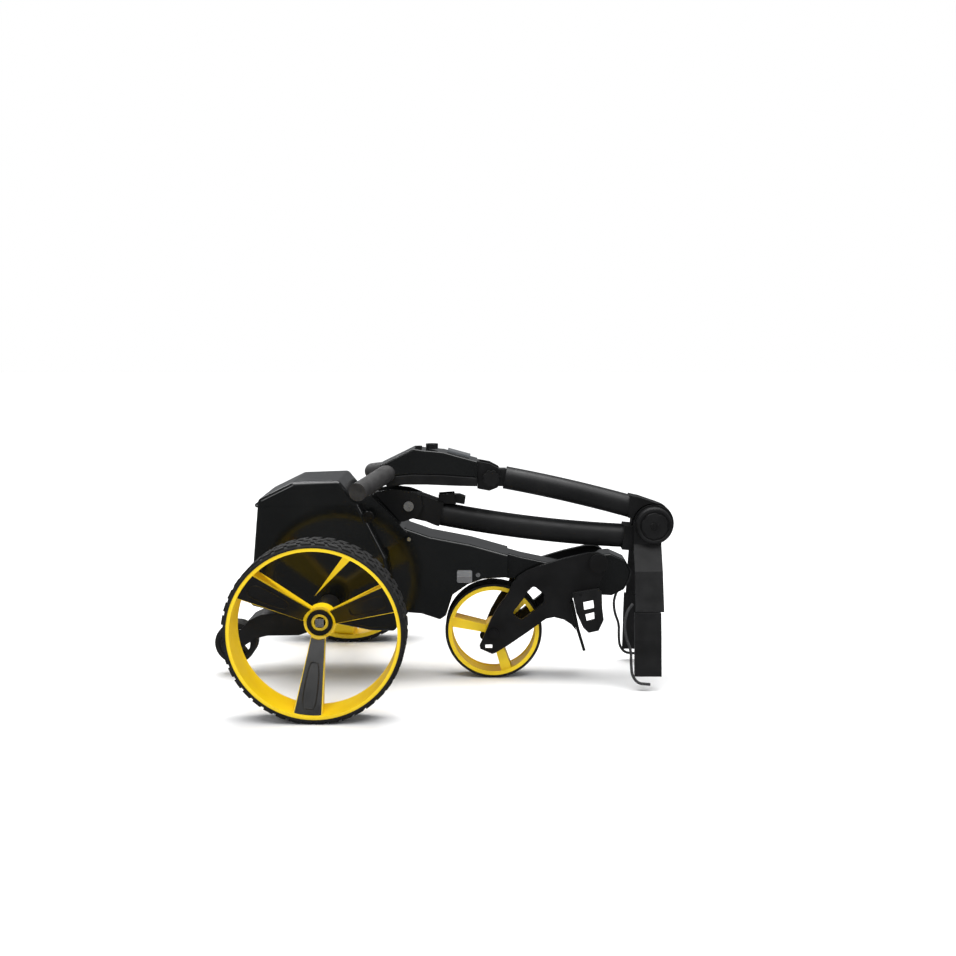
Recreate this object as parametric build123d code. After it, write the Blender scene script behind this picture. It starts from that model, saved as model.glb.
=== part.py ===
from build123d import *
import math
import os

os.makedirs("parts", exist_ok=True)

# Electric golf trolley, folded. X forward, Y left, Z up, floor at Z = 0, millimetres.
# The right-hand side of the trolley is -Y.

# driving dimensions
half_track = 300.0                     # outer face of a rear tyre
axle_x = -200.0
wheel_r = 149.2                        # rear tyre
rim_r = 141.0
barrel_inner = 235.0                   # |Y| of the rim's inner edge
hub_face = 214.0                       # |Y| of the dished hub's outer face
axle_end_r = 9.6                       # across the clipped corners of the square axle ends
front_x = 92.0
front_r = 88.4
front_rim_r = 82.6
fork_pivot = (280.0, 218.0)
frame_pivot = (-61.0, 319.0)
mid_hinge = (380.0, 284.7)
handle_pivot = (87.0, 369.0)
tip_wheel = (-381.0, 63.6)
tip_r = 37.5
body_half = 85.0                       # rear housing
neck_half = 50.0                       # neck behind the front wheel
nose_half = 29.5                       # neck between the fork plates
wall = 3.0
fit = 0.05                             # radial running clearance
gear_module = 1.25
gear_teeth = 36
pinion_teeth = 20
motor_angle = 100.0                    # direction from the axle to the motor, degrees
spoke_angles = [25.0, 145.0, 265.0]
front_spoke_angles = [168.0, 288.0, 48.0]

axle = (axle_x, wheel_r)
front_axle = (front_x, front_r)
centre_distance = gear_module * (gear_teeth + pinion_teeth) / 2 + 0.1
motor = (axle_x + centre_distance * math.cos(math.radians(motor_angle)),
         wheel_r + centre_distance * math.sin(math.radians(motor_angle)))

pieces = {}


# ---------------------------------------------------------------- shapes used everywhere
def flat_face(points, y=0.0):
    return make_face(Polyline(*[(x, y, z) for x, z in points], close=True))


def plate(points, y_low, y_high, round_r=0.0):
    """A closed X-Z outline carried from y_low to y_high, with its corners rounded."""
    solid = extrude(flat_face(points, y_low), amount=y_high - y_low, dir=(0, 1, 0))
    if round_r:
        solid = fillet(solid.edges().filter_by(Axis.Y), round_r)
    return solid


def rod(centre, radius, y_low, y_high):
    x, z = centre
    return Pos(x, (y_low + y_high) / 2, z) * Rot(90, 0, 0) * Cylinder(radius, y_high - y_low)


def ring(centre, outer, inner, y_low, y_high):
    return rod(centre, outer, y_low, y_high) - rod(centre, inner, y_low - 1, y_high + 1)


def lathe(centre, profile):
    """A closed outline of (radius, y) points turned about the Y direction."""
    face = make_face(Polyline(*[(r, y, 0) for r, y in profile], close=True))
    return Pos(centre[0], 0, centre[1]) * revolve(face, Axis.Y, 360)


def block(x_low, x_high, y_low, y_high, z_low, z_high):
    size = (x_high - x_low, y_high - y_low, z_high - z_low)
    middle = ((x_low + x_high) / 2, (y_low + y_high) / 2, (z_low + z_high) / 2)
    return Pos(*middle) * Box(*size)


def pair(shape):
    """A piece and its twin on the other side of the trolley."""
    return shape, mirror(shape, about=Plane.XZ)


def polar(centre, radius, degrees):
    angle = math.radians(degrees)
    return (centre[0] + radius * math.cos(angle), centre[1] + radius * math.sin(angle))


def arc_bar(points, radius):
    """A round bar bent along one arc in the middle plane."""
    path = ThreePointArc(*[(x, 0, z) for x, z in points])
    return sweep(Plane(path @ 0, z_dir=path % 0) * Circle(radius), path=path)


def cord_radii(points):
    """The largest arc that the two runs at each corner allow."""
    radii = []
    for before, corner, after in zip(points, points[1:], points[2:]):
        first = Vector(*corner) - Vector(*before)
        second = Vector(*after) - Vector(*corner)
        half_turn = math.radians(first.get_angle(second)) / 2
        radii.append(0.45 * min(first.length, second.length) / math.tan(half_turn))
    return radii


def bent_cord(points, radius):
    """A cord of straight runs joined by arcs."""
    path = FilletPolyline(*points, radius=cord_radii(points))
    return sweep(Plane(path @ 0, z_dir=path % 0) * Circle(radius), path=path)


def toothed(centre, teeth, tip_angle):
    """A gear outline with one tooth pointing at tip_angle."""
    pitch = gear_module * teeth / 2
    root = pitch - 1.2 * gear_module
    tip = pitch + 0.8 * gear_module
    step = 360.0 / teeth
    outline = []
    for n in range(teeth):
        angle = tip_angle + n * step
        outline.append(polar(centre, root, angle - 0.30 * step))
        outline.append(polar(centre, tip, angle - 0.12 * step))
        outline.append(polar(centre, tip, angle + 0.12 * step))
        outline.append(polar(centre, root, angle + 0.30 * step))
    return outline


# ---------------------------------------------------------------- rear wheels
def rear_tyre():
    shoulder = 3.0
    return lathe(axle, [(rim_r, barrel_inner), (wheel_r - 1, barrel_inner), (wheel_r, barrel_inner + shoulder),
                        (wheel_r, half_track - shoulder), (wheel_r - 1, half_track), (rim_r, half_track)])


def rear_barrel():
    face = half_track - 1.0
    return lathe(axle, [(rim_r, barrel_inner), (rim_r, face), (rim_r - 5.5, face), (rim_r - 6.0, face - 4),
                        (rim_r - 8.0, barrel_inner)])


def spoke(angle):
    """One dished spoke: wide and far out at the rim, narrow and set back at the hub."""
    hub_half = 11.5
    rim_half = 24.0
    reach = rim_r - 3.0
    start = 15.0
    sections = []
    for radius, half, low, high in ((start, hub_half, 186.0, hub_face - 2), (reach, rim_half, 242.0, 294.0)):
        corners = [(radius, low, -half + 3), (radius, low, half - 3), (radius, high, half), (radius, high, -half)]
        sections.append(make_face(Polyline(*corners, close=True)))
    arm = loft(sections)
    return Pos(axle[0], 0, axle[1]) * Rot(0, -angle, 0) * arm


def spoke_insert(angle):
    """The dark panel let into the front of a spoke."""
    sections = []
    for radius, half, low, high in ((10.0, 9.5, 208.0, 213.5), (rim_r - 6.6, 22.0, 288.0, 294.5)):
        corners = [(radius, low, -half), (radius, low, half), (radius, high, half), (radius, high, -half)]
        sections.append(make_face(Polyline(*corners, close=True)))
    panel = Pos(axle[0], 0, axle[1]) * Rot(0, -angle, 0) * loft(sections)
    return panel - rod(axle, 27.4, 150.0, 320.0)


def rear_rim():
    """Barrel, three dished spokes and hub, moulded in one."""
    hub = ring(axle, 27.0, axle_end_r + fit, 184.0, hub_face)
    for angle in spoke_angles:
        hub += spoke(angle)
    hub -= rod(axle, axle_end_r + fit, 150.0, 320.0)
    hub -= ring(axle, 21.9, 14.4, hub_face - 12, 320.0)        # seat of the release collar
    hub -= ring(axle, 400.0, rim_r - 2.0, 180.0, 320.0)
    hub += rear_barrel()
    for angle in spoke_angles:
        hub -= spoke_insert(angle)
    return hub


def release_collar():
    return ring(axle, 21.6, 14.7, hub_face - 6, hub_face + 4)


inserts = spoke_insert(spoke_angles[0])
for panel_angle in spoke_angles[1:]:
    inserts += spoke_insert(panel_angle)

for name, shape in (("tyre", rear_tyre()), ("rim", rear_rim()), ("spoke_panels", inserts),
                    ("release_collar", release_collar())):
    left, right = pair(shape)
    pieces["rear_" + name + "_left"] = left
    pieces["rear_" + name + "_right"] = right


# ---------------------------------------------------------------- axle and drive
def rear_axle():
    bar = rod(axle, 7.5, -184.0, 184.0)
    side = 14.0
    corners = [(axle[0] - side / 2, axle[1] - side / 2), (axle[0] + side / 2, axle[1] - side / 2),
               (axle[0] + side / 2, axle[1] + side / 2), (axle[0] - side / 2, axle[1] + side / 2)]
    for low, high in ((-hub_face - 5, -184.0), (184.0, hub_face + 5)):
        bar += plate(corners, low, high) & rod(axle, axle_end_r, low, high)
    return bar


def gearbox_case():
    half = 11.0
    inner = 8.0
    cheek = rod(axle, 27.5, -half, half) + rod(motor, 19.0, -half, half)
    cheek += block(motor[0] - 18, motor[0] + 20, -half, half, axle[1], motor[1])
    hollow = rod(axle, 24.9, -inner, inner) + rod(motor, 16.0, -inner, inner)
    hollow += block(motor[0] - 15, motor[0] + 17, -inner, inner, axle[1], motor[1])
    return cheek - hollow - rod(axle, 8.2, -20, 20) - rod(motor, 5.0, -20, 20)


pieces["rear_axle"] = rear_axle()
pieces["drive_gear"] = plate(toothed(axle, gear_teeth, motor_angle), -5, 5) - rod(axle, 7.5, -6, 6)
pinion_gap = motor_angle + 180.0 + 180.0 / pinion_teeth
pieces["motor_pinion"] = plate(toothed(motor, pinion_teeth, pinion_gap), -6, 6) + rod(motor, 3.0, -7.5, 40.0)
pieces["motor_can"] = rod(motor, 25.0, 11.4, 78.0) - rod(motor, 3.0 + fit, 10.0, 42.0)
pieces["gearbox_case"] = gearbox_case()
pieces["axle_tubes"] = ring(axle, 20.0, 13.0, body_half, 178.0) + ring(axle, 20.0, 13.0, -178.0, -body_half)
pieces["axle_bearings"] = (ring(axle, 13.0, 7.5 + fit, 164.0, 177.0)
                           + ring(axle, 13.0, 7.5 + fit, -177.0, -164.0))


# ---------------------------------------------------------------- rear housing, lid, battery
housing_outline = [(-341, 148), (-323, 338), (-262, 368), (-180, 371), (-146, 330), (-98, 235), (-79, 101.5),
                   (-128, 103), (-290, 136)]
lid_joint = 326.0
lid_hinge = (-327.2, lid_joint - 0.2)


def hollow_outline(points, y_half, thickness, round_r, edge_r):
    """A closed casing: an outline carried across the trolley, less its own inside."""
    outside = plate(points, -y_half, y_half, round_r)
    if edge_r:
        sides = outside.faces().filter_by(Plane.XZ)
        outside = fillet(sides.edges(), edge_r)
    inside_face = offset(flat_face(points, -y_half + thickness), amount=-thickness, kind=Kind.INTERSECTION)
    inside = extrude(inside_face, amount=2 * (y_half - thickness), dir=(0, 1, 0))
    if round_r:
        inside = fillet(inside.edges().filter_by(Axis.Y), round_r - thickness)
    return outside - inside


casing = hollow_outline(housing_outline, body_half, wall, 9.0, 7.0)
casing -= rod(axle, 12.0, -100, 100)
below_lid = block(-400, 0, -100, 100, 0, lid_joint - 0.4)
above_lid = block(-400, 0, -100, 100, lid_joint, 500)
right_half = block(-450, 450, -320, 0, -10, 500)
left_half = block(-450, 450, 0, 320, -10, 500)

hinge_lugs = ring(lid_hinge, 4.0, 1.5 + fit, 52, 68) + ring(lid_hinge, 4.0, 1.5 + fit, -68, -52)
lower_casing = (casing & below_lid) - rod(lid_hinge, 4.4, -50.4, 50.4)
pieces["housing_shell_right"] = (lower_casing & right_half) + (hinge_lugs & right_half)
pieces["housing_shell_left"] = (lower_casing & left_half) + (hinge_lugs & left_half)
lid_lug = ring(lid_hinge, 4.0, 1.5 + fit, -50, 50) - block(-400, -300, -20, 20, 300, 350)
lid_gaps = rod(lid_hinge, 4.4, 51.6, 68.4) + rod(lid_hinge, 4.4, -68.4, -51.6) + rod(lid_hinge, 4.4, -20, 20)
pieces["battery_lid"] = ((casing & above_lid) - lid_gaps) + lid_lug
pieces["lid_hinge_pin"] = rod(lid_hinge, 1.5, -70, 70)

battery = block(-312, -170, -70, 70, 226, 316)
pieces["battery_pack"] = fillet(battery.edges(), 5.0)
board = block(-160, -104, -48, 48, 206, 208)
for chip_x, chip_y in ((-150, -30), (-132, -8), (-150, 14), (-128, 30)):
    board += block(chip_x, chip_x + 14, chip_y, chip_y + 12, 208, 214)
pieces["controller_board"] = board
stripe = plate([(-225.5, 166), (-172, 240), (-159, 233)], body_half, body_half + 1.2)
stripe += mirror(stripe, about=Plane.XZ)
pieces["side_stripes"] = stripe


# ---------------------------------------------------------------- neck that carries the fork
rear_neck = [(-72, 283), (-23, 266), (50, 252), (118, 233), (118, 192), (100, 191), (72, 189), (45, 179), (18, 160),
             (6, 122), (-5, 114.5), (-38, 125.5), (-110, 131), (-125, 245), (-95, 275)]
rear_neck_inside = [(-68, 274), (-22, 260), (50, 246), (112, 228), (112, 198), (98, 197), (70, 195), (41, 185),
                    (13, 164), (1, 126), (-6, 121), (-38, 131), (-72, 133), (-86, 245), (-80, 266)]
front_neck = [(100, 238), (140, 226.5), (190, 216), (234, 217), (268, 229), (303, 232), (330, 220), (341, 200),
              (338, 184), (328, 166), (306, 155), (250, 158), (160, 176), (100, 191)]


def neck():
    shape = plate(rear_neck, -neck_half, neck_half)
    shape = fillet(shape.faces().filter_by(Plane.XZ).edges(), 5.0)
    nose = plate(front_neck, -nose_half, nose_half)
    nose = fillet(nose.faces().filter_by(Plane.XZ).edges(), 4.0)
    rear_inside = plate(rear_neck_inside, -neck_half + wall, neck_half - wall)
    nose_inside = extrude(offset(flat_face(front_neck, -nose_half + wall), amount=-4.0, kind=Kind.INTERSECTION),
                          amount=2 * (nose_half - wall), dir=(0, 1, 0))
    return (shape + nose) - rear_inside - nose_inside - rod(fork_pivot, 8.0 + fit, -60, 60)


pillar = plate([(-150, 334), (-126, 343), (-60, 273), (-75, 262), (-120, 240), (-150, 300)], -62, 62, 3.0)
pillar -= casing
pillar -= plate(housing_outline, -body_half, body_half)
neck_body = neck() - plate(housing_outline, -body_half, body_half)
neck_body += pillar - plate(rear_neck, -neck_half, neck_half)
pieces["neck_shell_right"] = neck_body & right_half
pieces["neck_shell_left"] = neck_body & left_half

cheek_outline = [(-123, 344), (-102, 348), (-86, 349), (-61, 346), (-40, 338), (-36, 318), (-44, 300), (-70, 291),
                 (-76.5, 291)]
cheek = plate(cheek_outline, 25.0, 31.0)
cheek -= rod(frame_pivot, 6.0 + fit, 20, 40)
cheek += mirror(cheek, about=Plane.XZ)
pieces["frame_bracket"] = cheek - plate([(-137.5, 336), (-126, 343), (-60, 273), (-75, 262), (-135, 312)], -38, 38)
bolt = rod(frame_pivot, 6.0, -31.5, 31.5) + rod(frame_pivot, 9.0, -35.0, -31.2) + rod(frame_pivot, 9.0, 31.2, 35.0)
pieces["frame_hinge_bolt"] = bolt

latch = plate([(26, 184), (53, 184), (53, 206), (26, 206)], -neck_half - 5, -neck_half - 0.4, 3.0)
pieces["fold_latch"] = latch
screws = rod((63.6, 197.4), 4.0, neck_half, neck_half + 1.6) + rod((-60, 262), 3.5, neck_half, neck_half + 1.4)
pieces["neck_screws"] = screws + mirror(screws, about=Plane.XZ)


# ---------------------------------------------------------------- anti-tip wheel
arm_outline = [(-262, 82), (-320, 81), (-340, 76), (-366, 60), (-378, 52), (-388, 58), (-390, 66), (-384, 74),
               (-352, 110), (-330, 120), (-298, 123), (-275, 120), (-262, 128), (-216, 119), (-222, 96)]


def tip_arm():
    arm = plate(arm_outline, -33, 33)
    arm -= ring(tip_wheel, 45.0, 0.1, -24, 24)
    arm -= plate(housing_outline, -body_half, body_half)
    return arm - rod(tip_wheel, 4.0, -40, 40)


tip_tyre = ring(tip_wheel, tip_r, 31.0, -19, 19)
tip_core = ring(tip_wheel, 31.0, 27.0, -18, 18) + ring(tip_wheel, 10.0, 4.0 + fit, -20, 20)
for n in range(5):
    end = polar(tip_wheel, 29.0, 72 * n + 18)
    start = polar(tip_wheel, 7.5, 72 * n + 18)
    side = math.radians(72 * n + 108)
    dx = 2.5 * math.cos(side)
    dz = 2.5 * math.sin(side)
    tip_core += plate([(start[0] + dx, start[1] + dz), (end[0] + dx, end[1] + dz), (end[0] - dx, end[1] - dz),
                       (start[0] - dx, start[1] - dz)], -12, 12)
pieces["anti_tip_arm"] = tip_arm()
pieces["anti_tip_tyre"] = tip_tyre
pieces["anti_tip_core"] = tip_core - rod(tip_wheel, 4.0 + fit, -40, 40)
pieces["anti_tip_pin"] = rod(tip_wheel, 4.0, -35, 35)


# ---------------------------------------------------------------- front wheel and fork
def front_rim():
    half = 25.0
    barrel = lathe(front_axle, [(front_rim_r, -half), (front_rim_r, half), (front_rim_r - 7, half),
                                (front_rim_r - 5, half - 4), (front_rim_r - 5, -half + 4), (front_rim_r - 7, -half)])
    barrel += ring(front_axle, 17.0, 13.0, -23, 23)
    for angle in front_spoke_angles:
        start = polar(front_axle, 14.0, angle)
        end = polar(front_axle, front_rim_r - 4, angle)
        side = math.radians(angle + 90)
        corners = []
        for base, reach in ((start, 7.0), (end, 9.5), (end, -9.5), (start, -7.0)):
            corners.append((base[0] + reach * math.cos(side), base[1] + reach * math.sin(side)))
        barrel += plate(corners, -20, 20)
    return barrel - rod(front_axle, 13.0, -40, 40)


pieces["front_tyre"] = lathe(front_axle, [(front_rim_r, -24), (front_r - 2, -24), (front_r, -20), (front_r, 20),
                                          (front_r - 2, 24), (front_rim_r, 24)])
pieces["front_rim"] = front_rim()
pieces["front_bearings"] = (ring(front_axle, 13.0, 5.0 + fit, 13, 23) + ring(front_axle, 13.0, 5.0 + fit, -23, -13))
front_bolt = rod(front_axle, 5.0, -47, 47) + rod(front_axle, 9.0, -49, -45) + rod(front_axle, 9.0, 45, 49)
pieces["front_axle"] = front_bolt + ring(front_axle, 8.0, 4.5, 24.5, 33) + ring(front_axle, 8.0, 4.5, -33, -24.5)

fork_outline = [(280, 236), (262, 236), (221, 226.5), (178, 213.4), (152, 203), (135, 191.6), (125, 179), (118, 162),
                (101, 139), (87, 114), (75, 84), (66.5, 65), (68, 60), (89, 50.6), (94, 52), (118, 66.6), (153, 91),
                (177, 109), (187, 116), (201, 118.8), (218, 114.4), (232, 105.5), (241, 94), (229.5, 146), (234, 154),
                (281, 174), (287, 193.4), (298, 218), (293, 230)]
slot_outline = [(164, 176.6), (183.5, 160), (182, 144), (142.5, 112.5), (128.5, 121), (126.7, 128), (145.7, 153),
                (152.5, 165)]


def fork_plate():
    shape = plate(fork_outline, 33.0, 45.0)
    shape -= plate(slot_outline, 20, 60, 6.0)
    shape -= plate([(77, 59), (89.5, 59), (89.5, 68), (77, 68)], 20, 60)
    return shape - rod(fork_pivot, 8.0, 20, 60) - rod(front_axle, 5.0, 20, 60)


left, right = pair(fork_plate())
pieces["fork_plate_left"] = left
pieces["fork_plate_right"] = right
pieces["fork_pivot_bolt"] = (rod(fork_pivot, 8.0, -46, 46) + rod(fork_pivot, 17.0, -50, -45)
                             + rod(fork_pivot, 17.0, 45, 50))
shelf = plate([(230.5, 146), (241, 96), (253.5, 56), (258.7, 57), (246.5, 98), (236, 147)], -44, 44)
shelf -= plate(fork_outline, -45, -33) + plate(fork_outline, 33, 45)
pieces["bag_shelf"] = shelf

buckle_pin = (247, 163)
buckle = plate([(234, 158), (232, 166), (280, 174), (285, 168), (286, 140), (289, 118), (280, 98), (262, 94),
                (252, 104), (240, 130)], -62, -52, 2.0)
buckle -= plate([(252, 150), (270, 154), (272, 138), (254, 134)], -70, -40)
buckle -= plate([(256, 128), (272, 132), (273, 118), (259, 114)], -70, -40)
pieces["strap_buckle"] = buckle - rod(buckle_pin, 3.0 + fit, -70, -40)
pieces["fork_plate_right"] += rod(buckle_pin, 3.0, -62, -45)


# ---------------------------------------------------------------- main frame
lower_tube_r = 21.5
knuckle_outline = [(-61, 341), (-40, 338), (-4, 325), (2, 323), (-3, 302), (-7, 281), (-16, 284), (-30, 290),
                   (-61, 297), (-76, 303), (-83, 319), (-76, 335)]
tube_path = ((-8, 302), (150, 276.5), (338, 260.6))
solid_tube = arc_bar(tube_path, lower_tube_r)
pieces["lower_tube"] = solid_tube - arc_bar(tube_path, lower_tube_r - 2.0)
knuckle = plate(knuckle_outline, -24.3, 24.3)
knuckle -= solid_tube
lever_pin = (12.0, 330.0)
saddle = plate([(-8, 322), (-8, 338), (20, 340), (24, 321)], 13, 17)
saddle -= solid_tube
knuckle += saddle + mirror(saddle, about=Plane.XZ) + rod(lever_pin, 2.0, -17, 17)
pieces["frame_knuckle"] = knuckle - rod(frame_pivot, 6.0 + fit, -40, 40)

lever = plate([(5, 326), (39, 319.5), (41, 333), (30, 337), (6, 337)], -12, 12, 2.0)
pieces["fold_lever"] = lever - rod(lever_pin, 2.0 + fit, -30, 30)

hinge_cheek = [(340, 284), (336, 238), (352, 236), (380, 249), (402, 256), (416, 285), (402, 314), (380, 321),
               (356, 314)]


def hinge_knuckle():
    body = plate([(328, 283), (324, 239), (350, 237), (352, 281)], -25.8, 25.8)
    ears = rod(mid_hinge, 36.0, 14.3, 25.8) + plate([(328, 283), (324, 239), (352, 237), (392, 252)], 14.3, 25.8)
    ears += mirror(ears, about=Plane.XZ)
    body += ears
    body -= solid_tube
    return body - rod(mid_hinge, 7.0, -60, 60) - rod(mid_hinge, 38.6, -14.3, 14.3)


pieces["hinge_knuckle"] = hinge_knuckle()
mid_bolt = rod(mid_hinge, 7.0, -38, 38)
for low, high in ((32.0, 40.0), (-40.0, -32.0)):
    mid_bolt += fillet(rod(mid_hinge, 33.0, low, high).edges(), 2.5)
pieces["mid_hinge_bolt"] = mid_bolt


# ---------------------------------------------------------------- bag cradle that hangs from the mid hinge
def cradle_arm():
    """A keyhole plate at the hinge whose leg slopes outwards as it goes down."""
    top = rod(mid_hinge, 33.0, 26.0, 32.0)
    front = [(26, 290), (32, 290), (32, 250), (58, 205), (84, 137), (76, 137), (51, 203), (26, 246)]
    leg = make_face(Polyline(*[(344.0, y, z) for y, z in front], close=True))
    shape = top + extrude(leg, amount=50.0, dir=(1, 0, 0))
    return shape - rod(mid_hinge, 7.0, 0, 60)


def cradle_pad():
    front = [(77, 136), (89, 136), (99, 90), (106, 26), (94, 24), (86, 88)]
    face = make_face(Polyline(*[(341.0, y, z) for y, z in front], close=True))
    return extrude(face, amount=47.0, dir=(1, 0, 0))


pieces["cradle_arms"] = cradle_arm() + mirror(cradle_arm(), about=Plane.XZ)
pieces["cradle_pads"] = cradle_pad() + mirror(cradle_pad(), about=Plane.XZ)


def bungee(side):
    """An elastic loop clipped to the back edge of one cradle pad."""
    y = side * 101.0
    route = [(338, y * 0.82, 152), (328, y * 0.86, 140), (322, y * 0.92, 118), (325, y * 0.96, 94), (334, y, 72),
             (334, y * 1.02, 48), (336, y * 1.04, 28), (346, y * 1.05, 14), (368, y * 1.05, 12)]
    return bent_cord(route, 2.5)


pieces["cradle_bungees"] = bungee(1) + bungee(-1)


# ---------------------------------------------------------------- upper tube
upper_tube_r = 20.5
upper_path = ((112, 367.5), (212, 347), (350, 312))
solid_upper = arc_bar(upper_path, upper_tube_r)
tongue = rod(handle_pivot, 17.0, -14.2, 14.2) + block(87, 114, -14.2, 14.2, 353, 384)
tongue -= rod(handle_pivot, 5.0 + fit, -60, 60)
pieces["upper_tube"] = (solid_upper - arc_bar(upper_path, upper_tube_r - 2.0)) + (tongue - solid_upper)


def upper_elbow():
    body = plate([(338, 337), (356, 333), (394, 320), (380, 290), (356, 291), (334, 297)], -21.5, 21.5)
    body -= rod(mid_hinge, 38.0, 13.9, 60) + rod(mid_hinge, 38.0, -60, -13.9)
    body += rod(mid_hinge, 38.4, -13.9, 13.9)
    body -= solid_upper
    return body - rod(mid_hinge, 7.0 + fit, -60, 60)


pieces["upper_elbow"] = upper_elbow()


# ---------------------------------------------------------------- handle
upper_outline = [(-112, 393), (-52, 422.5), (-36, 420), (1, 416.5), (32, 408), (62, 400), (62, 371.5), (1, 376),
                 (-56, 377), (-95, 373), (-110, 380)]
lower_outline = [(-95, 372.6), (-56, 376.6), (1, 375.6), (62, 371.1), (62, 355), (22, 356), (-28, 358), (-69, 358),
                 (-98, 353.5), (-108, 362)]


def hollow_block(points, y_half, thickness):
    outside = plate(points, -y_half, y_half)
    outside = fillet(outside.faces().filter_by(Plane.XZ).edges(), 2.5)
    inside_face = offset(flat_face(points, -y_half + thickness), amount=-thickness, kind=Kind.INTERSECTION)
    return outside - extrude(inside_face, amount=2 * (y_half - thickness), dir=(0, 1, 0))


head_half = 34.0
grip_root = (-100.0, 30.0, 378.0)
grip_end = (-140.0, 150.0, 361.0)


def handle_bar(radius, start, stop, inner=0.0):
    """A straight bar along the swept-back grip, from start to stop as shares of its length."""
    first = Vector(*grip_root)
    reach = Vector(*grip_end) - first
    path = Line(first + reach * start, first + reach * stop)
    shape = sweep(Plane(path @ 0, z_dir=path % 0) * Circle(radius), path=path)
    if inner:
        shape -= sweep(Plane(path @ 0, z_dir=path % 0) * Circle(inner), path=path)
    return shape


bars = handle_bar(9.0, 0.04, 0.97)
bars += mirror(bars, about=Plane.XZ)
grip = handle_bar(16.0, -0.05, 1.03) - handle_bar(9.0, -0.1, 0.97)
grip -= block(-200, 0, -50, head_half + 0.4, 300, 450)
upper_shell = hollow_block(upper_outline, head_half, 2.5)
lower_shell = hollow_block(lower_outline, head_half, 2.5)
bar_seat = handle_bar(9.0, -0.1, 1.0)
bar_seat += mirror(bar_seat, about=Plane.XZ)
button_place = (-44, 0, 421)
pieces["handle_upper_shell"] = upper_shell - bar_seat - Pos(*button_place) * Cylinder(6.3, 12)
pieces["handle_lower_shell"] = lower_shell - bar_seat
pieces["handle_bars"] = bars
pieces["handle_grips"] = grip + mirror(grip, about=Plane.XZ)

neck_cheek = plate([(62.2, 399), (84, 395), (101, 386), (105, 369), (99, 352), (84, 346), (62.2, 350)], 14.5, 24.0, 4.0)
neck_cheek += mirror(neck_cheek, about=Plane.XZ)
bridge = plate([(62.2, 399), (66.0, 398), (66.0, 350.6), (62.2, 350)], -24, 24)
pieces["handle_clamp"] = (neck_cheek + bridge) - rod(handle_pivot, 5.0 + fit, -60, 60)
knob = rod(handle_pivot, 15.0, -34, -24.4)
for n in range(8):
    knob -= rod(polar(handle_pivot, 17.0, 45 * n), 4.0, -40, -24)
pieces["handle_knob"] = knob + rod(handle_pivot, 5.0, -25, 28)

pieces["display_window"] = Pos(29, 0, 412.6) * Rot(0, 15.2, 0) * Box(42, 44, 3)
pieces["speed_dial"] = Pos(-20, 0, 424.5) * Cylinder(11, 9)
pieces["power_button"] = Pos(*button_place) * Cylinder(6, 8)

for piece_name, piece in pieces.items():
    piece.label = piece_name
    export_step(piece, "parts/" + piece_name + ".step")
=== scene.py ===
import bmesh
import bpy
import math
import numpy as np
from mathutils import Matrix, Vector


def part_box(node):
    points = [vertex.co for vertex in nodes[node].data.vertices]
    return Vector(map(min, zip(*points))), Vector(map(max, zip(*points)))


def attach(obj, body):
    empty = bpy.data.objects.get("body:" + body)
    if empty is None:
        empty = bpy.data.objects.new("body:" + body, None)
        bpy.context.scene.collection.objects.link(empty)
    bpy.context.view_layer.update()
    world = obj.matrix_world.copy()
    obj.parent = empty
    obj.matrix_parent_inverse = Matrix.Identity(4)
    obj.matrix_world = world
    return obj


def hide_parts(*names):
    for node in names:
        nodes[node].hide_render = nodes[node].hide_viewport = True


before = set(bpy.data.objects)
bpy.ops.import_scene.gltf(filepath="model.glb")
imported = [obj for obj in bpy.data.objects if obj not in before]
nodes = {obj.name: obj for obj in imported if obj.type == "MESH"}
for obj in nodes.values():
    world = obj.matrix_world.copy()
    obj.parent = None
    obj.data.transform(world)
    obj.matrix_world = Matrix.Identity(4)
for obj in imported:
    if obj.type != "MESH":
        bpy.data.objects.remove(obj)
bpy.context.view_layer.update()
print("frame loaded")


# Materials: every one has grain, uneven gloss and a little wear. Noise is spread over its middle values only.
noiseDetail = dict(patch=3.0, smudge=5.0, grain=2.0)
noiseSpan = (0.3, 0.7)
coatRoughness = 0.05


def newTree(name):
    material = bpy.data.materials.new(name)
    material.use_nodes = True
    tree = material.node_tree
    tree.nodes.clear()
    shader = tree.nodes.new("ShaderNodeBsdfPrincipled")
    output = tree.nodes.new("ShaderNodeOutputMaterial")
    place = tree.nodes.new("ShaderNodeTexCoord")
    tree.links.new(shader.outputs[0], output.inputs[0])
    return material, tree, shader, place.outputs["Object"]


def noiseNode(tree, place, scale, detail, stretch):
    mapping = tree.nodes.new("ShaderNodeMapping")
    mapping.inputs["Scale"].default_value = stretch
    noise = tree.nodes.new("ShaderNodeTexNoise")
    noise.inputs["Scale"].default_value = scale
    noise.inputs["Detail"].default_value = detail
    tree.links.new(place, mapping.inputs["Vector"])
    tree.links.new(mapping.outputs[0], noise.inputs["Vector"])
    return noise.outputs["Fac"]


def rangeNode(tree, value, low, high):
    node = tree.nodes.new("ShaderNodeMapRange")
    node.inputs["From Min"].default_value = noiseSpan[0]
    node.inputs["From Max"].default_value = noiseSpan[1]
    node.inputs["To Min"].default_value = low
    node.inputs["To Max"].default_value = high
    tree.links.new(value, node.inputs["Value"])
    return node.outputs[0]


def bumpNode(tree, height, strength, distance):
    bump = tree.nodes.new("ShaderNodeBump")
    bump.inputs["Strength"].default_value = strength
    bump.inputs["Distance"].default_value = distance
    tree.links.new(height, bump.inputs["Height"])
    return bump.outputs[0]


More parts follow.
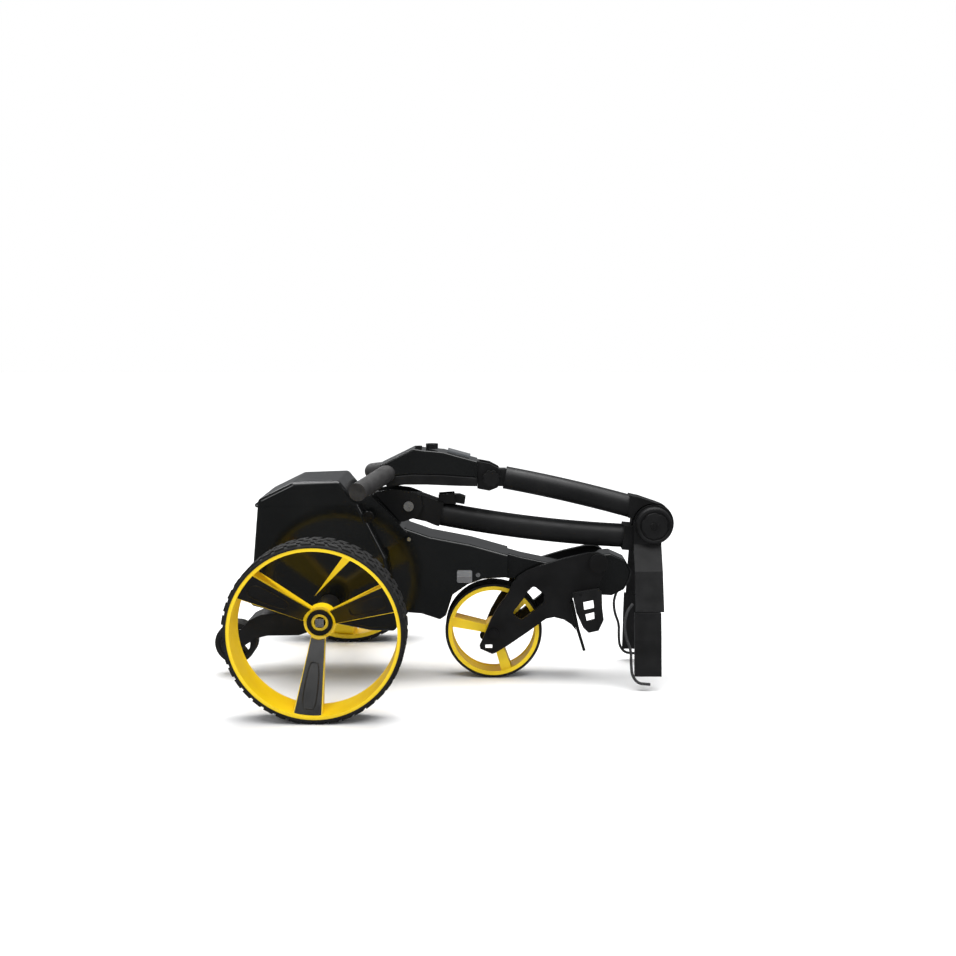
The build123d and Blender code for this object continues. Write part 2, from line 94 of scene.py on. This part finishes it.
# A finish from its dictionary: two colours mixed by slow noise, gloss by faster noise, grain as bump.
def surface(name, look):
    material, tree, shader, place = newTree(name)
    stretch = look.get("stretch", (1, 1, 1))
    slow = noiseNode(tree, place, look["patch"], noiseDetail["patch"], stretch)
    mix = tree.nodes.new("ShaderNodeMix")
    mix.data_type = "RGBA"
    mix.inputs[6].default_value = (*look["dark"], 1)
    mix.inputs[7].default_value = (*look["light"], 1)
    tree.links.new(rangeNode(tree, slow, 0, 1), mix.inputs[0])
    tree.links.new(mix.outputs[2], shader.inputs["Base Color"])
    smudge = noiseNode(tree, place, look["smudge"], noiseDetail["smudge"], stretch)
    tree.links.new(rangeNode(tree, smudge, *look["roughness"]), shader.inputs["Roughness"])
    grain = noiseNode(tree, place, look["grain"], noiseDetail["grain"], stretch)
    normal = bumpNode(tree, grain, look["bump"], look.get("depth", 0.0002))
    tree.links.new(normal, shader.inputs["Normal"])
    shader.inputs["Metallic"].default_value = look.get("metal", 0.0)
    shader.inputs["Coat Weight"].default_value = look.get("coat", 0.0)
    shader.inputs["Coat Roughness"].default_value = coatRoughness
    shader.inputs["Specular IOR Level"].default_value = look.get("specular", 0.5)
    return material


looks = {
    "glossBlack": dict(dark=(0.0025, 0.003, 0.003), light=(0.006, 0.0065, 0.0065), patch=9, smudge=35,
                       roughness=(0.07, 0.15), grain=700, bump=0.03, specular=0.42),
    "panelBlack": dict(dark=(0.003, 0.003, 0.003), light=(0.007, 0.007, 0.007), patch=20, smudge=60,
                       roughness=(0.12, 0.24), grain=900, bump=0.05, specular=0.38),
    "powderCoat": dict(dark=(0.004, 0.004, 0.0042), light=(0.008, 0.008, 0.0084), patch=25, smudge=60,
                       roughness=(0.50, 0.64), grain=1500, bump=0.35, specular=0.2),
    "tubeCoat": dict(dark=(0.006, 0.006, 0.0064), light=(0.011, 0.011, 0.0115), patch=14, smudge=50,
                     roughness=(0.36, 0.48), grain=1800, bump=0.2, specular=0.28),
    "mouldedBlack": dict(dark=(0.004, 0.004, 0.0043), light=(0.010, 0.010, 0.0105), patch=30, smudge=70,
                         roughness=(0.38, 0.54), grain=1300, bump=0.35, specular=0.28),
    "yellowPlastic": dict(dark=(0.86, 0.58, 0.004), light=(0.95, 0.68, 0.010), patch=12, smudge=40,
                          roughness=(0.30, 0.44), grain=900, bump=0.12, coat=0.15, specular=0.35),
    "rubber": dict(dark=(0.006, 0.006, 0.006), light=(0.014, 0.014, 0.014), patch=40, smudge=90,
                   roughness=(0.62, 0.82), grain=1100, bump=0.45, specular=0.3),
    "brushedSteel": dict(dark=(0.42, 0.42, 0.42), light=(0.62, 0.62, 0.61), patch=60, smudge=200,
                         roughness=(0.22, 0.40), grain=600, bump=0.25, metal=1.0, stretch=(1, 0.06, 1)),
    "satinAlloy": dict(dark=(0.55, 0.56, 0.58), light=(0.68, 0.69, 0.70), patch=40, smudge=90,
                       roughness=(0.28, 0.42), grain=900, bump=0.15, metal=0.9),
    "gripRubber": dict(dark=(0.016, 0.015, 0.015), light=(0.034, 0.033, 0.033), patch=60, smudge=120,
                       roughness=(0.55, 0.72), grain=420, bump=0.8, depth=0.0005),
    "batteryCase": dict(dark=(0.03, 0.03, 0.035), light=(0.05, 0.05, 0.055), patch=20, smudge=40,
                        roughness=(0.45, 0.6), grain=900, bump=0.3),
    "boardGreen": dict(dark=(0.01, 0.09, 0.03), light=(0.02, 0.14, 0.05), patch=90, smudge=200,
                       roughness=(0.35, 0.5), grain=800, bump=0.3),
    "elasticCord": dict(dark=(0.008, 0.008, 0.009), light=(0.05, 0.05, 0.052), patch=700, smudge=500,
                        roughness=(0.7, 0.9), grain=1600, bump=0.9, depth=0.0006),
    # Darker grey metal for the latch's lower half: painted shade, a shaded copy of the latch's lit metal.
    "latchShadeGrey": dict(dark=(0.22, 0.22, 0.23), light=(0.30, 0.30, 0.31), patch=40, smudge=90,
                      roughness=(0.35, 0.5), grain=900, bump=0.2, metal=0.6),
    "windowGrey": dict(dark=(0.10, 0.11, 0.12), light=(0.14, 0.15, 0.16), patch=10, smudge=30,
                       roughness=(0.06, 0.12), grain=300, bump=0.02, coat=1.0),
}
materials = {name: surface(name, look) for name, look in looks.items()}

finishOf = {
    "glossBlack": ["housing_shell_right", "housing_shell_left", "neck_shell_right", "neck_shell_left",
                   "battery_lid", "handle_upper_shell"],
    "panelBlack": ["rear_spoke_panels_right", "rear_spoke_panels_left"],
    "powderCoat": ["fork_plate_right", "fork_plate_left", "bag_shelf", "frame_bracket", "frame_knuckle",
                   "hinge_knuckle", "upper_elbow", "fork_pivot_bolt", "front_axle"],
    "tubeCoat": ["lower_tube", "upper_tube", "axle_tubes"],
    "mouldedBlack": ["anti_tip_arm", "cradle_arms", "cradle_pads", "strap_buckle", "fold_lever",
                     "handle_lower_shell", "handle_clamp", "handle_knob", "speed_dial", "power_button",
                     "rear_release_collar_right", "rear_release_collar_left", "mid_hinge_bolt",
                     "anti_tip_core"],
    "yellowPlastic": ["rear_rim_right", "rear_rim_left", "front_rim", "side_stripes"],
    "rubber": ["rear_tyre_right", "rear_tyre_left", "front_tyre", "anti_tip_tyre"],
    "brushedSteel": ["rear_axle", "drive_gear", "motor_pinion", "axle_bearings", "front_bearings",
                     "anti_tip_pin", "lid_hinge_pin", "frame_hinge_bolt", "neck_screws", "motor_can"],
    "satinAlloy": ["gearbox_case", "fold_latch", "handle_bars"],
    "gripRubber": ["handle_grips"],
    "batteryCase": ["battery_pack"],
    "boardGreen": ["controller_board"],
    "elasticCord": ["cradle_bungees"],
    "windowGrey": ["display_window"],
}
for finish, names in finishOf.items():
    for name in names:
        data = nodes[name].data
        data.materials.clear()
        data.materials.append(materials[finish])
print("materials assigned")


# Helpers for new pieces. An edge sharper than its kind's angle, in degrees, stays crisp.
smoothBelow = dict(tyre=28, slab=35, turned=30, rib=60)


def centreOf(node):
    low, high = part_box(node)
    return (low + high) / 2


# A piece from an array of points and an array or list of faces, which are then turned outwards.
def meshPiece(name, points, faces, material, kind):
    mesh = bpy.data.meshes.new(name)
    if not isinstance(faces, list):
        faces = faces.tolist()
    mesh.from_pydata(np.asarray(points).tolist(), [], faces)
    mesh.update()
    piece = bpy.data.objects.new(name, mesh)
    bpy.context.scene.collection.objects.link(piece)
    mesh.materials.append(materials[material])
    mesh.shade_smooth()
    mesh.set_sharp_from_angle(angle=math.radians(smoothBelow[kind]))
    work = bmesh.new()
    work.from_mesh(mesh)
    bmesh.ops.recalc_face_normals(work, faces=work.faces)
    work.to_mesh(mesh)
    work.free()
    return piece


# Quads of a grid of points that closes on itself both ways.
def gridFaces(rows, columns):
    i, j = np.meshgrid(np.arange(rows), np.arange(columns), indexing="ij")
    nextI, nextJ = (i + 1) % rows, (j + 1) % columns
    corners = [i * columns + j, i * columns + nextJ, nextI * columns + nextJ, nextI * columns + j]
    return np.stack(corners, -1).reshape(-1, 4)


# Ring surface: each profile point (radius, y) is swept round the Y direction.
def latheGrid(centre, profile, steps):
    profile = np.asarray(profile, float)
    turn = np.linspace(0, 2 * np.pi, steps, endpoint=False)
    radius, along = profile[:, 0], profile[:, 1]
    x = centre[0] + np.outer(np.cos(turn), radius)
    z = centre[2] + np.outer(np.sin(turn), radius)
    y = np.broadcast_to(along, x.shape)
    return np.stack([x, y, z], -1).reshape(-1, 3), gridFaces(steps, len(profile))


# Blocks standing on a wheel: each row gives y, half length along y, half angle, count, phase and slant.
# A block is eight points up to its shoulder and four for a slightly smaller top.
def treadBlocks(centre, yMiddle, rows, deep, outer, inset, topShare):
    allPoints = []
    allFaces = []
    used = 0
    for row in rows:
        turn = (np.arange(row["count"]) + row["phase"]) * 2 * np.pi / row["count"]
        signs = np.array([(-1, -1), (1, -1), (1, 1), (-1, 1)], float)
        layers = []
        for radius, shrink in ((deep, 1.0), (outer - inset, 1.0), (outer, topShare)):
            angle = turn[:, None] + signs[None, :, 0] * row["halfAngle"] * shrink
            angle = angle + signs[None, :, 1] * row["slant"]
            y = np.broadcast_to(yMiddle + row["y"] + signs[None, :, 1] * row["half"] * shrink, angle.shape)
            x = centre[0] + radius * np.cos(angle)
            z = centre[2] + radius * np.sin(angle)
            layers.append(np.stack([x, y, z], -1))
        block = np.concatenate(layers, axis=1)
        allPoints.append(block.reshape(-1, 3))
        quads = [[3, 2, 1, 0], [8, 9, 10, 11]]
        for layer in (0, 4):
            for n in range(4):
                quads.append([layer + n, layer + (n + 1) % 4, layer + 4 + (n + 1) % 4, layer + 4 + n])
        quads = np.array(quads)
        firstPoint = used + 12 * np.arange(row["count"])[:, None, None]
        allFaces.append((quads[None] + firstPoint).reshape(-1, 4))
        used += len(allPoints[-1])
    return np.concatenate(allPoints), np.concatenate(allFaces)


# Rear tyres: a smooth band with four staggered rows of blocks standing on it.
rearTyre = dict(relief=0.0026, around=42, steps=252, thick=0.0082, edge=0.003, edgeDrop=0.0008, edgeIn=0.0015,
                flatIn=0.005, sunk=0.001, topInset=0.0006, topShare=0.86,
                outerRow=dict(y=0.0225, half=0.0078, angleShare=0.36, slantShare=0.10),
                innerRow=dict(y=0.0075, half=0.0060, angleShare=0.34, slantShare=0.12))


def makeRearTyre(side):
    node = "rear_tyre_" + side
    low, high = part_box(node)
    centre = centreOf(node)
    outer = (high.z - low.z) / 2
    inner = outer - rearTyre["thick"]
    base = outer - rearTyre["relief"]
    half = (high.y - low.y) / 2
    y = centre.y
    edge = base - rearTyre["edge"]
    bevel = base - rearTyre["edgeDrop"]
    bevelHalf = half - rearTyre["edgeIn"]
    flatHalf = half - rearTyre["flatIn"]
    profile = [(inner, y - half), (edge, y - half), (bevel, y - bevelHalf), (base, y - flatHalf),
               (base, y + flatHalf), (bevel, y + bevelHalf), (edge, y + half), (inner, y + half)]
    points, faces = latheGrid(centre, profile, rearTyre["steps"])
    around = rearTyre["around"]
    pitch = 2 * math.pi / around
    rows = []
    for kind, place, phase, slant in (("outerRow", -1, 0.0, 1), ("innerRow", -1, 0.5, -1),
                                      ("innerRow", 1, 0.0, 1), ("outerRow", 1, 0.5, -1)):
        block = rearTyre[kind]
        rows.append(dict(y=place * block["y"], half=block["half"], halfAngle=block["angleShare"] * pitch,
                         count=around, phase=phase, slant=slant * block["slantShare"] * pitch))
    blockPoints, blockFaces = treadBlocks(centre, y, rows, base - rearTyre["sunk"], outer, rearTyre["topInset"],
                                          rearTyre["topShare"])
    allPoints = np.concatenate([points, blockPoints])
    allFaces = np.concatenate([faces, blockFaces + len(points)])
    tyre = meshPiece("treaded_tyre_" + side, allPoints, allFaces, "rubber", "tyre")
    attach(tyre, "wheel_" + side)
    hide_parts(node)


for side in ("right", "left"):
    makeRearTyre(side)
print("tyres made")


# An outline in X and Z carried from yLow to yHigh, with softly bevelled edges.
def slabPiece(name, outline, yLow, yHigh, bevel, material, body):
    outline = np.asarray(outline, float)
    count = len(outline)
    near = np.column_stack([outline[:, 0], np.full(count, yLow), outline[:, 1]])
    far = np.column_stack([outline[:, 0], np.full(count, yHigh), outline[:, 1]])
    ring = np.arange(count)
    sides = np.stack([ring, (ring + 1) % count, (ring + 1) % count + count, ring + count], -1).tolist()
    faces = sides + [ring[::-1].tolist(), (ring + count).tolist()]
    piece = meshPiece(name, np.concatenate([near, far]), faces, material, "slab")
    soften = piece.modifiers.new("soften", "BEVEL")
    soften.width = bevel
    soften.segments = 2
    soften.limit_method = "ANGLE"
    soften.harden_normals = True
    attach(piece, body)


# A profile of (radius, y) turned about a line along Y through the centre.
def turnedPiece(name, centre, profile, material, body, steps):
    points, faces = latheGrid(centre, profile, steps)
    piece = meshPiece(name, points, faces, material, "turned")
    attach(piece, body)


# A profile of (radius, height) standing on a face that looks sideways, on the right side (-1) or the left (1).
def standing(profile, face, side):
    return [(radius, side * (face + height)) for radius, height in profile]


# Middle hinge: a stepped ring, a knob with shallow notches and a small boss on each side.
hingeCap = dict(ring=[(0.0262, 0.0002), (0.0295, 0.0002), (0.0313, 0.0012), (0.0307, 0.0026), (0.0274, 0.0026),
                      (0.0262, 0.0018)],
                boss=[(0.0001, 0.0041), (0.0075, 0.0041), (0.0075, 0.0047), (0.0062, 0.0053), (0.0001, 0.0053)],
                knob=0.0235, notches=5, notchShare=0.075, sharpness=6, foot=0.0003, proud=0.0040, bevel=0.0009,
                outlineSteps=120, ringSteps=64, bossSteps=40)


def makeHingeCaps():
    middle = centreOf("mid_hinge_bolt")
    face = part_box("mid_hinge_bolt")[1].y
    turn = np.linspace(0, 2 * np.pi, hingeCap["outlineSteps"], endpoint=False)
    dip = (0.5 + 0.5 * np.cos(hingeCap["notches"] * turn)) ** hingeCap["sharpness"]
    radius = hingeCap["knob"] * (1 - hingeCap["notchShare"] * dip)
    outline = np.column_stack([middle.x + radius * np.cos(turn), middle.z + radius * np.sin(turn)])
    for side, word in ((-1, "right"), (1, "left")):
        turnedPiece("hinge_cap_ring_" + word, middle, standing(hingeCap["ring"], face, side), "mouldedBlack",
                    "main_frame", hingeCap["ringSteps"])
        low, high = sorted((side * (face + hingeCap["foot"]), side * (face + hingeCap["proud"])))
        slabPiece("hinge_cap_knob_" + word, outline, low, high, hingeCap["bevel"], "mouldedBlack", "main_frame")
        turnedPiece("hinge_cap_boss_" + word, middle, standing(hingeCap["boss"], face, side), "panelBlack",
                    "main_frame", hingeCap["bossSteps"])


makeHingeCaps()


# Spoke panels: a raised outline on each dark panel.
panelRib = dict(start=0.40, stop=0.93, widthShare=0.60, thick=0.0011, hubReach=0.010, rimReach=0.1344,
                hubHalf=0.0095, rimHalf=0.022, hubFace=0.2135, above=0.0002, squareness=0.35,
                spokes=(25, 145, 265), pathSteps=72, sectionSteps=8)


# The rib's middle line on one spoke: a rounded slot that widens towards the rim and follows the panel's dish.
def ribPath(middle, sign, rimFace, angle):
    hub, rim = panelRib["hubReach"], panelRib["rimReach"]
    start, stop = panelRib["start"], panelRib["stop"]
    turn = np.linspace(0, 2 * np.pi, panelRib["pathSteps"], endpoint=False)
    share = 0.5 * (start + stop) + 0.5 * (stop - start) * np.cos(turn)
    along = hub + (rim - hub) * share
    half = (panelRib["hubHalf"] + (panelRib["rimHalf"] - panelRib["hubHalf"]) * share) * panelRib["widthShare"]
    across = half * np.sign(np.sin(turn)) * np.abs(np.sin(turn)) ** panelRib["squareness"]
    face = panelRib["hubFace"] + (rimFace - panelRib["hubFace"]) * share + panelRib["above"]
    cosine, sine = math.cos(math.radians(angle)), math.sin(math.radians(angle))
    x = middle.x + along * cosine - across * sine
    z = middle.z + along * sine + across * cosine
    return np.column_stack([x, sign * face, z])


# A closed tube of round section along the path.
def sweptRing(path, sign):
    sideways = np.array([0.0, sign, 0.0])
    ahead = np.roll(path, -1, 0) - np.roll(path, 1, 0)
    ahead /= np.linalg.norm(ahead, axis=1)[:, None]
    outward = sideways - ahead * (ahead @ sideways)[:, None]
    outward /= np.linalg.norm(outward, axis=1)[:, None]
    across = np.cross(ahead, outward)
    section = np.linspace(0, 2 * np.pi, panelRib["sectionSteps"], endpoint=False)[None, :, None]
    ring = np.cos(section) * outward[:, None] + np.sin(section) * across[:, None]
    points = path[:, None] + panelRib["thick"] * ring
    return points.reshape(-1, 3), gridFaces(*points.shape[:2])


def makePanelRibs(side):
    sign = -1 if side == "right" else 1
    middle = centreOf("rear_tyre_" + side)
    low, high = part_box("rear_spoke_panels_" + side)
    rimFace = max(abs(low.y), abs(high.y))
    for n, angle in enumerate(panelRib["spokes"]):
        points, faces = sweptRing(ribPath(middle, sign, rimFace, angle), sign)
        rib = meshPiece(f"panel_rib_{side}_{n + 1}", points, faces, "panelBlack", "rib")
        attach(rib, "wheel_" + side)


for side in ("right", "left"):
    makePanelRibs(side)
print("hinge caps and panel ribs made")


# Small parts on the sides: a round boss on each side of the housing, and a darker grey skin over the latch's
# lower half as painted shade below its lit top half.
sideParts = dict(bossPlace=(-0.129, 0, 0.308), bossSteps=40,
                 boss=[(0.0001, -0.0003), (0.010, -0.0003), (0.010, 0.00066), (0.00936, 0.0013),
                       (0.0001, 0.0013)],
                 latchInset=0.001, latchSkin=0.0006, latchBevel=0.0002)


def makeSideParts():
    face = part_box("housing_shell_left")[1].y
    for side, word in ((-1, "right"), (1, "left")):
        turnedPiece("housing_boss_" + word, sideParts["bossPlace"], standing(sideParts["boss"], face, side),
                    "panelBlack", "chassis", sideParts["bossSteps"])
    # The latch's lower half gets a thin darker skin: painted shade under the lit top half.
    low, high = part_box("fold_latch")
    left, right = low.x + sideParts["latchInset"], high.x - sideParts["latchInset"]
    bottom, top = low.z + sideParts["latchInset"], (low.z + high.z) / 2
    outline = [(left, bottom), (right, bottom), (right, top), (left, top)]
    slabPiece("latch_shaded_lower_half", outline, low.y - sideParts["latchSkin"], low.y + sideParts["latchSkin"],
              sideParts["latchBevel"], "latchShadeGrey", "fold_latch")


makeSideParts()
print("side parts made")

# Camera, floor and lights.
viewFrom = dict(place=(0.07299, -2.28256, 0.64610), azimuth=0.2413, elevation=6.989, lens=47.672, sensor=36)
azimuth = math.radians(viewFrom["azimuth"])
elevation = math.radians(viewFrom["elevation"])
right = Vector((math.cos(azimuth), math.sin(azimuth), 0))
level = math.cos(elevation)
back = Vector((math.sin(azimuth) * level, -math.cos(azimuth) * level, math.sin(elevation)))
up = back.cross(right)
cameraData = bpy.data.cameras.new("camera")
cameraData.lens = viewFrom["lens"]
cameraData.sensor_width = viewFrom["sensor"]
camera = bpy.data.objects.new("camera", cameraData)
facing = Matrix((right, up, back)).transposed().to_4x4()
camera.matrix_world = Matrix.Translation(viewFrom["place"]) @ facing
bpy.context.scene.collection.objects.link(camera)
bpy.context.scene.camera = camera


# The floor takes shadows but is left out of what glossy surfaces mirror.
paleFloor = dict(half=14.0, colour=(0.9, 0.9, 0.9, 1), roughness=0.8, specular=0.1)


def addFloor():
    size = paleFloor["half"]
    points = [(-size, -size, 0), (size, -size, 0), (size, size, 0), (-size, size, 0)]
    mesh = bpy.data.meshes.new("floor")
    mesh.from_pydata(points, [], [(0, 1, 2, 3)])
    floor = bpy.data.objects.new("floor", mesh)
    material = bpy.data.materials.new("paleFloor")
    material.use_nodes = True
    shader = material.node_tree.nodes["Principled BSDF"]
    shader.inputs["Base Color"].default_value = paleFloor["colour"]
    shader.inputs["Roughness"].default_value = paleFloor["roughness"]
    shader.inputs["Specular IOR Level"].default_value = paleFloor["specular"]
    mesh.materials.append(material)
    bpy.context.scene.collection.objects.link(floor)
    floor.visible_glossy = False


def addLight(name, place, target, size, power):
    data = bpy.data.lights.new(name, "AREA")
    data.shape = "RECTANGLE"
    data.size, data.size_y = size
    data.energy = power
    lamp = bpy.data.objects.new(name, data)
    lamp.location = place
    lamp.rotation_euler = (Vector(target) - Vector(place)).to_track_quat("-Z", "Y").to_euler()
    bpy.context.scene.collection.objects.link(lamp)


addFloor()
addLight("overhead", (0.0, 0.2, 2.0), (0, 0, 0.2), (1.6, 0.7), 22)
addLight("front", (-1.4, -2.6, 1.7), (0, 0, 0.2), (1.0, 1.0), 16)
addLight("side", (2.2, -1.2, 1.2), (0.1, 0, 0.25), (0.5, 1.6), 10)
addLight("rear", (-1.2, 2.6, 1.5), (0, 0, 0.25), (1.2, 0.8), 12)

# A very wide sun stands in for an even sky.
softSky = dict(power=3.3, spread=70, tiltX=6, tiltY=4)
sky = bpy.data.lights.new("softSky", "SUN")
sky.energy = softSky["power"]
sky.angle = math.radians(softSky["spread"])
skyLamp = bpy.data.objects.new("softSky", sky)
skyLamp.rotation_euler = (math.radians(softSky["tiltX"]), math.radians(softSky["tiltY"]), 0)
bpy.context.scene.collection.objects.link(skyLamp)

# White behind the trolley where the camera looks, a dimmer room for what the surfaces mirror.
studio = dict(roomColour=(0.95, 0.97, 1.0, 1), roomPower=0.20, backColour=(1, 1, 1, 1), backPower=1.0)


def addStudioWorld():
    world = bpy.data.worlds.new("studio")
    world.use_nodes = True
    tree = world.node_tree
    room = tree.nodes["Background"]
    room.inputs["Color"].default_value = studio["roomColour"]
    room.inputs["Strength"].default_value = studio["roomPower"]
    backdrop = tree.nodes.new("ShaderNodeBackground")
    backdrop.inputs["Strength"].default_value = studio["backPower"]
    backdrop.inputs["Color"].default_value = studio["backColour"]
    path = tree.nodes.new("ShaderNodeLightPath")
    mix = tree.nodes.new("ShaderNodeMixShader")
    tree.links.new(path.outputs["Is Camera Ray"], mix.inputs[0])
    tree.links.new(room.outputs[0], mix.inputs[1])
    tree.links.new(backdrop.outputs[0], mix.inputs[2])
    tree.links.new(mix.outputs[0], tree.nodes["World Output"].inputs[0])
    bpy.context.scene.world = world


addStudioWorld()
bpy.context.scene.view_settings.view_transform = "Standard"
print("stage set")
